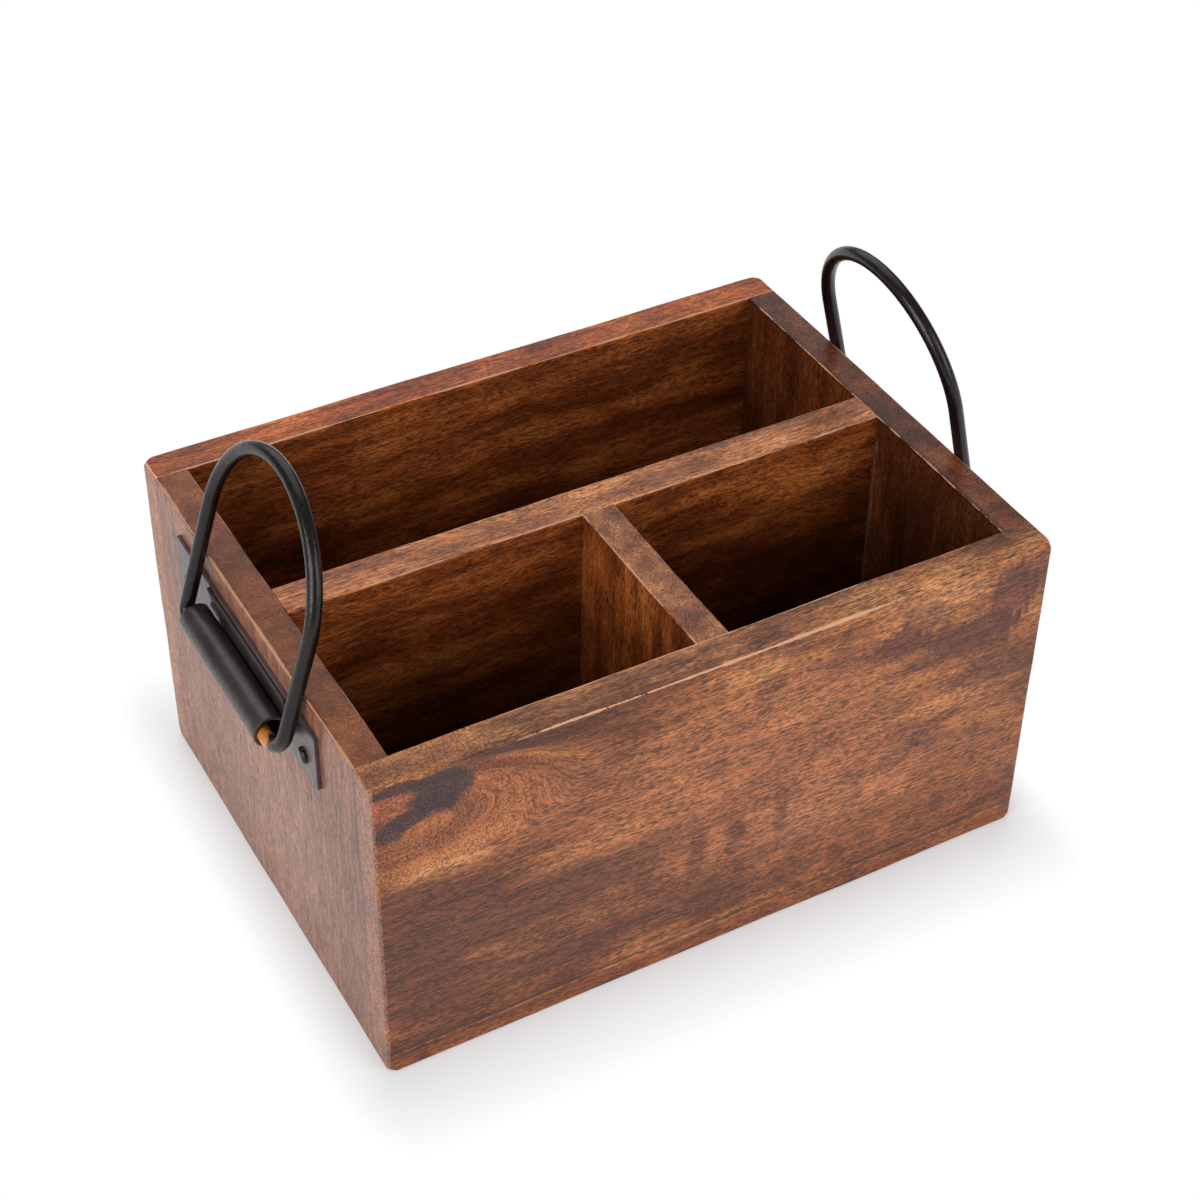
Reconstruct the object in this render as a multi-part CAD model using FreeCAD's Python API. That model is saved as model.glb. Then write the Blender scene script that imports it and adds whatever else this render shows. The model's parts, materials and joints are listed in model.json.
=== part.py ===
import FreeCAD
import Part
import math
import os

V = FreeCAD.Vector

# All sizes are in millimetres. X runs along the length, the front panel faces -Y, Z is up,
# and the origin is on the standing surface under the middle of the box.

# Box
LENGTH = 254.0
DEPTH = 190.0
HEIGHT = 131.0
LONG_BOARD = 13.0
END_BOARD = 12.0
BASE_BOARD = 9.0
LONG_DIVIDER = 14.0
CROSS_DIVIDER = 12.5
LONG_DIVIDER_SETBACK = 1.0
CROSS_DIVIDER_SHIFT = 0.0

# Sanded edges, and tips of the box, which are rubbed rounder than the edges
CORNER_RADIUS = 1.5
RIM_RADIUS = 1.2
FOOT_RADIUS = 1.5
MOUTH_EASE = 0.6
TIP_RADIUS = 6.0
FRONT_LEFT_RIM_TIP_RADIUS = 2.0

# Brads that pin the boards together, set below the surface
BRAD_RADIUS = 0.8
BRAD_HEAD_RADIUS = 1.1
BRAD_HEAD_DEPTH = 1.0
BRAD_POINT = 2.5
BRAD_TIP_RADIUS = 0.2
BRAD_SET = 2.0
BRAD_BITE = 20.0
BRAD_FIT = 0.03
CORNER_BRAD_COUNT = 4
BASE_LONG_BRAD_COUNT = 3
BASE_END_BRAD_COUNT = 2
DIVIDER_BRAD_COUNT = 3

# Handle plate, a flat strip nailed to each end panel, shifted away from the wide bend
PLATE_LENGTH = 116.5
PLATE_SHIFT = 3.25
PLATE_HEIGHT = 23.0
PLATE_SHEET = 1.5
PLATE_DROP = 9.8
PLATE_CORNER = 1.5

# Nails that hold the plate, a little below its middle
NAIL_INSET = 9.5
NAIL_DROP = 3.0
NAIL_SHANK_RADIUS = 1.2
NAIL_BITE = 9.0
NAIL_POINT = 3.0
NAIL_TIP_RADIUS = 0.2
NAIL_HEAD_RADIUS = 3.0
NAIL_HEAD_RIM = 0.7
NAIL_HEAD_HEIGHT = 1.6
NAIL_FIT = 0.05

# Barrel, a strip rolled round the rod, with its flat tail on the plate
BARREL_LENGTH = 64.0
BARREL_SHIFT = 1.0
BARREL_RADIUS = 5.95
BARREL_SHEET = 1.1
BARREL_DROP = 12.2
TAIL_SET = 1.0
SEAM_GAP = 0.3

# Bail, a round rod bent to a U with its ends turned into the barrel, one with a wide bend
ROD_DIAMETER = 5.2
BAIL_WIDTH = 80.5
BAIL_LEG = 43.0
WIDE_BEND_RADIUS = 10.0
TIGHT_BEND_RADIUS = 4.0
ROD_END_GAP = 6.0
ROD_SEAT_GAP = 0.15
REST_GAP = 0.3

# Where each loose bail lies in its barrel: the seat angle is counted outwards from straight down,
# and the slide is along the barrel, towards the wide bend.
BAIL_LIE = {
    "left": {"seat_angle": 85.0, "slide": 5.0},
    "right": {"seat_angle": 30.0, "slide": 3.2},
}

# Lengths that follow from the sizes above
HALF_LENGTH = LENGTH / 2
HALF_DEPTH = DEPTH / 2
INNER_X = HALF_LENGTH - END_BOARD
INNER_Y = HALF_DEPTH - LONG_BOARD
DIVIDER_FRONT = LONG_DIVIDER_SETBACK - LONG_DIVIDER / 2
DIVIDER_BACK = LONG_DIVIDER_SETBACK + LONG_DIVIDER / 2
CROSS_LEFT = CROSS_DIVIDER_SHIFT - CROSS_DIVIDER / 2
CROSS_RIGHT = CROSS_DIVIDER_SHIFT + CROSS_DIVIDER / 2
PLATE_TOP = HEIGHT - PLATE_DROP
NAIL_Z = PLATE_TOP - PLATE_HEIGHT / 2 - NAIL_DROP
BARREL_Z = PLATE_TOP - BARREL_DROP
BARREL_OUT = PLATE_SHEET + BARREL_RADIUS
BORE_RADIUS = BARREL_RADIUS - BARREL_SHEET
ROD_RADIUS = ROD_DIAMETER / 2
BAIL_HALF = BAIL_WIDTH / 2
CUT_MARGIN = 1.0


def block(x_span, y_span, z_span):
    """A plain box between the given limits."""
    corner = V(x_span[0], y_span[0], z_span[0])
    return Part.makeBox(x_span[1] - x_span[0], y_span[1] - y_span[0], z_span[1] - z_span[0], corner)


def edges_at_height(shape, z):
    """The edges of a shape that lie flat at one height."""
    return [e for e in shape.Edges if abs(e.BoundBox.ZMin - z) < 1e-6 and abs(e.BoundBox.ZMax - z) < 1e-6]


def sanded_envelope():
    """The outside of the glued-up box after its corners, rim and foot are rounded over."""
    body = block((-HALF_LENGTH, HALF_LENGTH), (-HALF_DEPTH, HALF_DEPTH), (0, HEIGHT))
    uprights = [e for e in body.Edges if e.BoundBox.ZLength > HEIGHT / 2]
    body = body.makeFillet(CORNER_RADIUS, uprights)
    body = body.makeFillet(RIM_RADIUS, edges_at_height(body, HEIGHT))
    body = body.makeFillet(FOOT_RADIUS, edges_at_height(body, 0))
    waste = []
    for x in (-1, 1):
        for y in (-1, 1):
            rim_tip = FRONT_LEFT_RIM_TIP_RADIUS if (x, y) == (-1, -1) else TIP_RADIUS
            waste.append(tip_waste(V(x * HALF_LENGTH, y * HALF_DEPTH, HEIGHT), V(-x, -y, -1), rim_tip))
            waste.append(tip_waste(V(x * HALF_LENGTH, y * HALF_DEPTH, 0), V(-x, -y, 1), TIP_RADIUS))
    return body.cut(waste)


def tip_waste(tip, inward, radius):
    """What sanding takes off one tip: each face then has a corner of this radius, and its edges stay."""
    centre = tip + inward * radius
    spans = [tuple(sorted(pair)) for pair in zip(tip, centre)]
    ball = Part.makeSphere(radius * math.sqrt(2), centre)
    return block(*spans).cut(ball)


def rectangle(x_span, y_span, grow, z):
    """A closed rectangular wire, grown on all sides, at one height."""
    x0, x1 = x_span[0] - grow, x_span[1] + grow
    y0, y1 = y_span[0] - grow, y_span[1] + grow
    return Part.makePolygon([V(x0, y0, z), V(x1, y0, z), V(x1, y1, z), V(x0, y1, z), V(x0, y0, z)])


def eased_mouth(x_span, y_span):
    """The sliver that sanding takes off the inner edge of a compartment's mouth."""
    lower = rectangle(x_span, y_span, 0, HEIGHT - MOUTH_EASE)
    upper = rectangle(x_span, y_span, 2 * MOUTH_EASE, HEIGHT + MOUTH_EASE)
    return Part.makeLoft([lower, upper], True, True)


def evenly(low, high, count):
    """Places in the middle of equal shares of a span."""
    share = (high - low) / count
    return [low + share * (i + 0.5) for i in range(count)]


def brad(start, along, board, grow):
    """One brad through a board into the next, or its hole when grown."""
    length = board - BRAD_SET + BRAD_BITE
    begin = start + along * (BRAD_SET - grow)
    tip = start + along * (BRAD_SET + length - BRAD_POINT)
    head = Part.makeCylinder(BRAD_HEAD_RADIUS + grow, BRAD_HEAD_DEPTH + 2 * grow, begin, along)
    shank = Part.makeCylinder(BRAD_RADIUS + grow, length - BRAD_POINT + grow, begin, along)
    point = Part.makeCone(BRAD_RADIUS + grow, BRAD_TIP_RADIUS + grow, BRAD_POINT + grow, tip, along)
    return head.fuse([shank, point]).removeSplitter()


def brad_groups():
    """For each joint, the brads' starting points, directions and the board they pass through."""
    end_middle = HALF_LENGTH - END_BOARD / 2
    base_middle = BASE_BOARD / 2
    corner_heights = evenly(BASE_BOARD, HEIGHT, CORNER_BRAD_COUNT)
    divider_heights = evenly(BASE_BOARD, HEIGHT, DIVIDER_BRAD_COUNT)
    back, front, right, left = V(0, 1, 0), V(0, -1, 0), V(1, 0, 0), V(-1, 0, 0)
    groups = {name: [] for name in ("front_corner_brads", "back_corner_brads", "base_brads",
                                    "long_divider_brads", "cross_divider_brads")}
    for x in (-end_middle, end_middle):
        for z in corner_heights:
            groups["front_corner_brads"].append((V(x, -HALF_DEPTH, z), back, LONG_BOARD))
            groups["back_corner_brads"].append((V(x, HALF_DEPTH, z), front, LONG_BOARD))
    for x in evenly(-INNER_X, INNER_X, BASE_LONG_BRAD_COUNT):
        groups["base_brads"].append((V(x, -HALF_DEPTH, base_middle), back, LONG_BOARD))
        groups["base_brads"].append((V(x, HALF_DEPTH, base_middle), front, LONG_BOARD))
    for y in evenly(-INNER_Y, INNER_Y, BASE_END_BRAD_COUNT):
        groups["base_brads"].append((V(-HALF_LENGTH, y, base_middle), right, END_BOARD))
        groups["base_brads"].append((V(HALF_LENGTH, y, base_middle), left, END_BOARD))
    for z in divider_heights:
        groups["long_divider_brads"].append((V(-HALF_LENGTH, LONG_DIVIDER_SETBACK, z), right, END_BOARD))
        groups["long_divider_brads"].append((V(HALF_LENGTH, LONG_DIVIDER_SETBACK, z), left, END_BOARD))
        groups["cross_divider_brads"].append((V(CROSS_DIVIDER_SHIFT, -HALF_DEPTH, z), back, LONG_BOARD))
        groups["cross_divider_brads"].append((V(CROSS_DIVIDER_SHIFT, DIVIDER_BACK, z), front, LONG_DIVIDER))
    return groups


def handle_plate():
    """The left plate, flat on the end panel, with its two nail holes."""
    face = -HALF_LENGTH
    plate = block((face - PLATE_SHEET, face),
                  (PLATE_SHIFT - PLATE_LENGTH / 2, PLATE_SHIFT + PLATE_LENGTH / 2),
                  (PLATE_TOP - PLATE_HEIGHT, PLATE_TOP))
    corners = [e for e in plate.Edges if e.BoundBox.XLength > PLATE_SHEET / 2]
    plate = plate.makeFillet(PLATE_CORNER, corners)
    for y in nail_places():
        plate = plate.cut(nail_hole(y))
    return plate


def nail_places():
    """Nails sit in from both ends of the plate."""
    reach = PLATE_LENGTH / 2 - NAIL_INSET
    return [PLATE_SHIFT - reach, PLATE_SHIFT + reach]


def nail_hole(y):
    """The hole for one nail through the left plate and into the end panel."""
    mouth = V(-HALF_LENGTH - PLATE_SHEET - CUT_MARGIN, y, NAIL_Z)
    depth = CUT_MARGIN + PLATE_SHEET + NAIL_BITE + NAIL_FIT
    return Part.makeCylinder(NAIL_SHANK_RADIUS + NAIL_FIT, depth, mouth, V(1, 0, 0))


def plate_nail(y):
    """One left-hand nail: a low domed head on the plate, a shank and a blunt point in the wood."""
    inward = V(1, 0, 0)
    seat = V(-HALF_LENGTH - PLATE_SHEET, y, NAIL_Z)
    tip = V(-HALF_LENGTH + NAIL_BITE - NAIL_POINT, y, NAIL_Z)
    shank = Part.makeCylinder(NAIL_SHANK_RADIUS, tip.x - seat.x, seat, inward)
    point = Part.makeCone(NAIL_SHANK_RADIUS, NAIL_TIP_RADIUS, NAIL_POINT, tip, inward)
    arch = NAIL_HEAD_HEIGHT - NAIL_HEAD_RIM
    dome_radius = (NAIL_HEAD_RADIUS ** 2 + arch ** 2) / (2 * arch)
    ball = Part.makeSphere(dome_radius, seat + inward * (dome_radius - NAIL_HEAD_HEIGHT))
    head = Part.makeCylinder(NAIL_HEAD_RADIUS, 2 * NAIL_HEAD_HEIGHT, seat, -inward).common(ball)
    return head.fuse([shank, point]).removeSplitter()


def handle_barrel():
    """The left barrel: the strip's tail lies flat on the plate, then curls down, out and back to the tail."""
    y_span = (-BARREL_SHIFT - BARREL_LENGTH / 2, -BARREL_SHIFT + BARREL_LENGTH / 2)
    start = V(-HALF_LENGTH - BARREL_OUT, y_span[0], BARREL_Z)
    along = V(0, 1, 0)
    curl = Part.makeCylinder(BARREL_RADIUS, BARREL_LENGTH, start, along)
    curl = curl.cut(Part.makeCylinder(BORE_RADIUS, BARREL_LENGTH, start, along))
    seat = -HALF_LENGTH - PLATE_SHEET
    seam = seat - BARREL_SHEET - SEAM_GAP
    gap = block((seam, seat + CUT_MARGIN), y_span, (BARREL_Z, PLATE_TOP + CUT_MARGIN))
    tail = block((seat - BARREL_SHEET, seat), y_span, (BARREL_Z, PLATE_TOP - TAIL_SET))
    return curl.cut(gap).fuse(tail).removeSplitter()


def rod_place(lie):
    """How far the rod's axis is out from the end panel, and its height, where it lies in the bore."""
    offset = BORE_RADIUS - ROD_RADIUS - ROD_SEAT_GAP
    angle = math.radians(lie["seat_angle"])
    return BARREL_OUT + offset * math.sin(angle), BARREL_Z - offset * math.cos(angle)


def rest_tilt(out, height):
    """The inward lean at which the bail's legs rest on the rounded rim."""
    across = out + RIM_RADIUS
    up = HEIGHT - RIM_RADIUS - height
    reach = ROD_RADIUS + RIM_RADIUS + REST_GAP
    return math.acos(reach / math.hypot(across, up)) - math.atan2(up, across)


def hang_angle(out):
    """How far past straight down the bail swings before its crown meets the end panel."""
    return math.asin((out - ROD_RADIUS - REST_GAP) / (BAIL_LEG + BAIL_HALF))


def bail_path(out, height, slide):
    """Centreline of the left bail standing upright: end, wide bend, leg, crown, leg, tight bend, end."""
    x = -HALF_LENGTH - out
    slope = math.sqrt(0.5)
    arch = BAIL_HALF * slope

    def at(y, h):
        return V(x, y - slide, height + h)

    def line(a, b):
        return Part.LineSegment(at(*a), at(*b)).toShape()

    def arc(a, b, c):
        return Part.Arc(at(*a), at(*b), at(*c)).toShape()

    def half(side, bend):
        turn = BAIL_HALF - bend
        middle = (side * (turn + bend * slope), bend - bend * slope)
        end = line((side * ROD_END_GAP / 2, 0), (side * turn, 0))
        elbow = arc((side * turn, 0), middle, (side * BAIL_HALF, bend))
        leg = line((side * BAIL_HALF, bend), (side * BAIL_HALF, BAIL_LEG))
        crown = arc((side * BAIL_HALF, BAIL_LEG), (side * arch, BAIL_LEG + arch), (0, BAIL_LEG + BAIL_HALF))
        return [end, elbow, leg, crown]

    return Part.Wire(half(-1, WIDE_BEND_RADIUS) + half(1, TIGHT_BEND_RADIUS)[::-1])


def bail(side):
    """A bail built on the left, leaning in against the rim, with its pivot and swing printed."""
    lie = BAIL_LIE[side]
    out, height = rod_place(lie)
    path = bail_path(out, height, lie["slide"])
    start = V(-HALF_LENGTH - out, -lie["slide"] - ROD_END_GAP / 2, height)
    section = Part.Wire(Part.makeCircle(ROD_RADIUS, start, V(0, 1, 0)))
    rod = path.makePipeShell([section], True, False)
    tilt = math.degrees(rest_tilt(out, height))
    rod.rotate(V(-HALF_LENGTH - out, 0, height), V(0, 1, 0), tilt)
    swing = tilt + 180 + math.degrees(hang_angle(out))
    print(f"{side}_bail: pivot {HALF_LENGTH + out:.3f} mm from the middle at height {height:.3f} mm,"
          f" leans in {tilt:.2f} degrees, swings {swing:.2f} degrees out")
    print(f"{side}_bail: volume over section times length"
          f" {rod.Volume / (math.pi * ROD_RADIUS ** 2 * path.Length):.5f}")
    return rod


def boards():
    """Every board cut from the rounded envelope, with its mouths eased."""
    full_x, full_y, full_z = (-HALF_LENGTH, HALF_LENGTH), (-INNER_Y, INNER_Y), (0, HEIGHT)
    inner_x, above_base = (-INNER_X, INNER_X), (BASE_BOARD, HEIGHT)
    rough = {
        "front_panel": block(full_x, (-HALF_DEPTH, -INNER_Y), full_z),
        "back_panel": block(full_x, (INNER_Y, HALF_DEPTH), full_z),
        "left_end_panel": block((-HALF_LENGTH, -INNER_X), full_y, full_z),
        "right_end_panel": block((INNER_X, HALF_LENGTH), full_y, full_z),
        "base_panel": block(inner_x, full_y, (0, BASE_BOARD)),
        "long_divider": block(inner_x, (DIVIDER_FRONT, DIVIDER_BACK), above_base),
        "cross_divider": block((CROSS_LEFT, CROSS_RIGHT), (-INNER_Y, DIVIDER_FRONT), above_base),
    }
    mouths = [
        eased_mouth(inner_x, (DIVIDER_BACK, INNER_Y)),
        eased_mouth((-INNER_X, CROSS_LEFT), (-INNER_Y, DIVIDER_FRONT)),
        eased_mouth((CROSS_RIGHT, INNER_X), (-INNER_Y, DIVIDER_FRONT)),
    ]
    envelope = sanded_envelope()
    return {name: board.common(envelope).cut(mouths) for name, board in rough.items()}


def turned(shape):
    """A left-hand piece turned half round, for the right end of the box."""
    twin = shape.copy()
    twin.rotate(V(0, 0, 0), V(0, 0, 1), 180)
    return twin


def build():
    """All nodes of the caddy by name."""
    pieces = boards()
    for name, places in brad_groups().items():
        holes = [brad(*place, BRAD_FIT) for place in places]
        for board in ("front_panel", "back_panel", "left_end_panel", "right_end_panel",
                      "base_panel", "long_divider", "cross_divider"):
            near = [h for h in holes if h.BoundBox.intersect(pieces[board].BoundBox)]
            if near:
                pieces[board] = pieces[board].cut(near)
        pieces[name] = Part.makeCompound([brad(*place, 0) for place in places])
    for side in ("left", "right"):
        turn = turned if side == "right" else Part.Shape.copy
        end = f"{side}_end_panel"
        pieces[end] = pieces[end].cut([turn(nail_hole(y)) for y in nail_places()])
        pieces[f"{side}_handle_plate"] = turn(handle_plate())
        pieces[f"{side}_handle_barrel"] = turn(handle_barrel())
        pieces[f"{side}_plate_nails"] = Part.makeCompound([turn(plate_nail(y)) for y in nail_places()])
        pieces[f"{side}_bail"] = turn(bail(side))
    return pieces


os.makedirs("parts", exist_ok=True)
for node, shape in build().items():
    shape.exportStep(f"parts/{node}.step")
    print(f"{node}: {len(shape.Solids)} solids, {shape.Volume / 1000:.2f} cm3, valid {shape.isValid()}")
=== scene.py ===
# %% [markdown]
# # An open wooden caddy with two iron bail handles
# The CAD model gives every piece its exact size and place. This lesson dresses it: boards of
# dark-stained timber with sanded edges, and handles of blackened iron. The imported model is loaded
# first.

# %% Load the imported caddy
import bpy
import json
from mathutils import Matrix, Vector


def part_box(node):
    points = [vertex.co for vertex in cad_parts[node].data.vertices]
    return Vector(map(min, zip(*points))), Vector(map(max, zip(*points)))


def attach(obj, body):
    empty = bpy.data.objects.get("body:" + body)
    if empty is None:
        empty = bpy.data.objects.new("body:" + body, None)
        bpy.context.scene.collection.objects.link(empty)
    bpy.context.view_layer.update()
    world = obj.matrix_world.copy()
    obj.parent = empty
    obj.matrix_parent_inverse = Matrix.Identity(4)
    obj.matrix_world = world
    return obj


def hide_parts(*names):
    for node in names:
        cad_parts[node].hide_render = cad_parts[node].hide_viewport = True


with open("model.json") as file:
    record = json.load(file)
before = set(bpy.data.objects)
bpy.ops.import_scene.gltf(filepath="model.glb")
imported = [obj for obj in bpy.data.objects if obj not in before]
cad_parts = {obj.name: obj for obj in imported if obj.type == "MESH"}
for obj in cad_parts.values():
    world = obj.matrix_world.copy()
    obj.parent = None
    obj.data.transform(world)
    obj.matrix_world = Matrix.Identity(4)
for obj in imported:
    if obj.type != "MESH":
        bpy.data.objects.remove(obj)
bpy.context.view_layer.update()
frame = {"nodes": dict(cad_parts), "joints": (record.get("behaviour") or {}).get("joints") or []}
print("pieces in the packed caddy:", len(frame["nodes"]))

# %% [markdown]
# Every new piece ends the same way: its faces are turned outwards, its mesh becomes an object at the
# origin, and the object rides on a body of the caddy in place of one CAD node. Putting that in one
# helper keeps the modelling cells short.

# %% Finish a mesh as a piece of the caddy
import json
import math

import bmesh
import bpy
from mathutils import Matrix, Vector, noise

MM = 0.001
SHARP_ANGLE = 50


def finish_piece(bm, node, body, material):
    """Makes an object of a bmesh, which stands for one CAD node and rides on a body."""
    bmesh.ops.recalc_face_normals(bm, faces=bm.faces)
    mesh = bpy.data.meshes.new(f"{node}_dressed")
    bm.to_mesh(mesh)
    bm.free()
    mesh.shade_smooth()
    mesh.set_sharp_from_angle(angle=math.radians(SHARP_ANGLE))
    mesh.materials.append(material)
    piece = bpy.data.objects.new(f"{node}_dressed", mesh)
    bpy.context.scene.collection.objects.link(piece)
    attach(piece, body)
    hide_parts(node)
    print(f"{piece.name}: {len(mesh.polygons)} faces")
    return piece


def even_shading(piece):
    """Lets the large flat faces set the shading, so that narrow roundings don't tint them."""
    shading = piece.modifiers.new("even shading", "WEIGHTED_NORMAL")
    shading.keep_sharp = True


# %% [markdown]
# The camera stands where the photographer stood: in front of the caddy's left corner and well above
# it. The place, the viewing direction and the long lens come from the vanishing lines of the box.
# A matrix of the camera's own right, up and back directions sets the turn exactly, with no guessing
# of angles.

# %% Camera
CAMERA_PLACE = Vector((-0.32277, -0.57806, 0.64380))
LOOK = Vector((0.37696, 0.66545, -0.64427)).normalized()
ROLL = math.radians(0.79)
FOCAL_LENGTH_MM = 72.945

level = LOOK.cross(Vector((0, 0, 1))).normalized()
upright = level.cross(LOOK).normalized()
camera_right = level * math.cos(ROLL) + upright * math.sin(ROLL)
camera_up = upright * math.cos(ROLL) - level * math.sin(ROLL)
camera_data = bpy.data.cameras.new("camera")
camera_data.sensor_width = 36.0
camera_data.lens = FOCAL_LENGTH_MM
camera = bpy.data.objects.new("camera", camera_data)
bpy.context.scene.collection.objects.link(camera)
turn = Matrix((camera_right, camera_up, -LOOK)).transposed().to_4x4()
camera.matrix_world = Matrix.Translation(CAMERA_PLACE) @ turn
bpy.context.scene.camera = camera
print("camera looks down by", round(math.degrees(math.asin(-LOOK.z)), 1), "degrees")

# %% [markdown]
# Materials are built from nodes. A few small helpers add a node, set or link its sockets and hand back
# the output, so that a recipe reads from top to bottom like a calculation.

# %% Node helpers


def node(tree, kind, inputs, **settings):
    """Adds a node. Each input is a fixed value, or an output to link."""
    made = tree.nodes.new(kind)
    for key, value in settings.items():
        setattr(made, key, value)
    for key, value in inputs.items():
        if isinstance(value, bpy.types.NodeSocket):
            tree.links.new(value, made.inputs[key])
        else:
            made.inputs[key].default_value = value
    return made


def maths(tree, operation, a, b=0.0, clamp=False):
    return node(tree, "ShaderNodeMath", {0: a, 1: b}, operation=operation, use_clamp=clamp).outputs[0]


def vector_maths(tree, operation, a, b):
    return node(tree, "ShaderNodeVectorMath", {0: a, 1: b}, operation=operation).outputs["Vector"]


def clouds(tree, vector, scale, detail, roughness=0.5):
    """Smooth noise around one half."""
    inputs = {"Vector": vector, "Scale": scale, "Detail": detail, "Roughness": roughness}
    return node(tree, "ShaderNodeTexNoise", inputs)


def fade(tree, value, low, high, at_low=0.0, at_high=1.0):
    """A soft step from one value to another."""
    inputs = {0: value, 1: low, 2: high, 3: at_low, 4: at_high}
    return node(tree, "ShaderNodeMapRange", inputs, interpolation_type="SMOOTHSTEP").outputs[0]


def blend(tree, factor, a, b, mode="MIX"):
    made = node(tree, "ShaderNodeMix", {0: factor, 6: a, 7: b}, data_type="RGBA", blend_type=mode)
    return made.outputs[2]


def new_group(name, inputs, outputs):
    """An empty node group with named sockets: its tree, its input node and its output node."""
    tree = bpy.data.node_groups.new(name, "ShaderNodeTree")
    for label, kind in inputs:
        tree.interface.new_socket(label, in_out="INPUT", socket_type=f"NodeSocket{kind}")
    for label in outputs:
        tree.interface.new_socket(label, in_out="OUTPUT", socket_type="NodeSocketFloat")
    return tree, tree.nodes.new("NodeGroupInput").outputs, tree.nodes.new("NodeGroupOutput").inputs


def use_group(tree, group, inputs):
    made = node(tree, "ShaderNodeGroup", {}, node_tree=group)
    for key, value in inputs.items():
        if isinstance(value, bpy.types.NodeSocket):
            tree.links.new(value, made.inputs[key])
        else:
            made.inputs[key].default_value = value
    return made.outputs


def stain(red, green, blue):
    """A screen colour, 0 to 255, as the linear colour that shaders use."""
    channels = [c / 255 for c in (red, green, blue)]
    return tuple(c / 12.92 if c <= 0.04045 else ((c + 0.055) / 1.055) ** 2.4 for c in channels) + (1.0,)


# %% [markdown]
# Timber is a solid texture: long fibres along the board, so the sides show streaks and the ends show
# dots. A photo texture would wrap round the corners wrongly. Noise that is stretched along the
# board gives both from one recipe. The group takes a place in millimetres, with the grain along X.

# %% Timber grain
grain, g_in, g_out = new_group("Timber grain", [("Vector", "Vector"), ("Wave", "Float")],
                               ["Fibre", "Streak", "Pore", "Blotch"])


def stretched(tree, vector, along, across):
    """Scales a place in millimetres, so that noise is long along the grain and narrow across it."""
    return vector_maths(tree, "MULTIPLY", vector, (along, across, across))


half = (0.5, 0.5, 0.5)
slow = vector_maths(grain, "SUBTRACT", clouds(grain, stretched(grain, g_in["Vector"], 0.012, 0.03), 1.0, 2.0)
                    .outputs["Color"], half)
slow_bend = node(grain, "ShaderNodeVectorMath", {0: slow, "Scale": g_in["Wave"]}, operation="SCALE")
quick = vector_maths(grain, "SUBTRACT", clouds(grain, stretched(grain, g_in["Vector"], 0.09, 0.16), 1.0, 2.0)
                     .outputs["Color"], half)
waved = vector_maths(grain, "ADD", g_in["Vector"], slow_bend.outputs["Vector"])
waved = vector_maths(grain, "ADD", waved, stretched(grain, quick, 0.0, 1.6))
short_fibre = clouds(grain, stretched(grain, waved, 0.42, 2.0), 1.0, 2.0, 0.6).outputs[0]
long_fibre = clouds(grain, stretched(grain, waved, 0.035, 0.8), 1.0, 4.0, 0.65).outputs[0]
mottle = clouds(grain, stretched(grain, waved, 0.07, 0.17), 1.0, 3.0, 0.6).outputs[0]
fibre = maths(grain, "ADD", maths(grain, "MULTIPLY", short_fibre, 0.56),
              maths(grain, "MULTIPLY", long_fibre, 0.30))
fibre = maths(grain, "ADD", fibre, maths(grain, "MULTIPLY", mottle, 0.14))
streak = clouds(grain, stretched(grain, waved, 0.012, 0.11), 1.0, 5.0, 0.62).outputs[0]
pore = clouds(grain, stretched(grain, waved, 0.16, 2.1), 1.0, 1.0).outputs[0]
blotch = clouds(grain, stretched(grain, g_in["Vector"], 0.025, 0.045), 1.0, 4.0, 0.55).outputs[0]
grain.links.new(fibre, g_out["Fibre"])
grain.links.new(streak, g_out["Streak"])
grain.links.new(fade(grain, pore, 0.55, 0.66), g_out["Pore"])
grain.links.new(blotch, g_out["Blotch"])
print("grain group:", len(grain.nodes), "nodes")

# %% [markdown]
# Round a knot the fibres bend aside. Close to the knot, the place across the grain is swapped for the
# distance from the knot's middle, measured on a flattened oval, so that the lines of the grain become
# rings, and further out they ease back to straight. The fibres come out of the surface there, so the
# group also gives the hill itself, as a mask for short grainy specks.

# %% Knot swirl
swirl, s_in, s_out = new_group("Knot swirl", [("Vector", "Vector"), ("Centre", "Vector"), ("Flat", "Vector"),
                                             ("Reach", "Float")], ["Lift", "Hill"])
from_knot = vector_maths(swirl, "SUBTRACT", s_in["Vector"], s_in["Centre"])
oval = node(swirl, "ShaderNodeVectorMath", {0: vector_maths(swirl, "MULTIPLY", from_knot, s_in["Flat"])},
            operation="LENGTH").outputs["Value"]
hill = fade(swirl, oval, s_in["Reach"], maths(swirl, "MULTIPLY", s_in["Reach"], 0.55))
above = node(swirl, "ShaderNodeSeparateXYZ", {"Vector": from_knot}).outputs["Z"]
ring_shift = maths(swirl, "MULTIPLY", maths(swirl, "ADD", oval, above), -1.0)
swirl.links.new(maths(swirl, "MULTIPLY", hill, ring_shift), s_out["Lift"])
swirl.links.new(hill, s_out["Hill"])
print("swirl group:", len(swirl.nodes), "nodes")

# %% [markdown]
# Stain sinks in unevenly, and heartwood, sapwood and knots take it differently. Each such place is a
# soft oval with a ragged edge. Painting a mask by hand would need an image, so a distance from a
# centre is used, roughened by noise, some of it as coarse as the patch itself. Where the fibres dip
# in and out of the surface, the edge gets teeth like a comb's, from a second noise that is narrow
# along the grain and tall across it.

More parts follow.
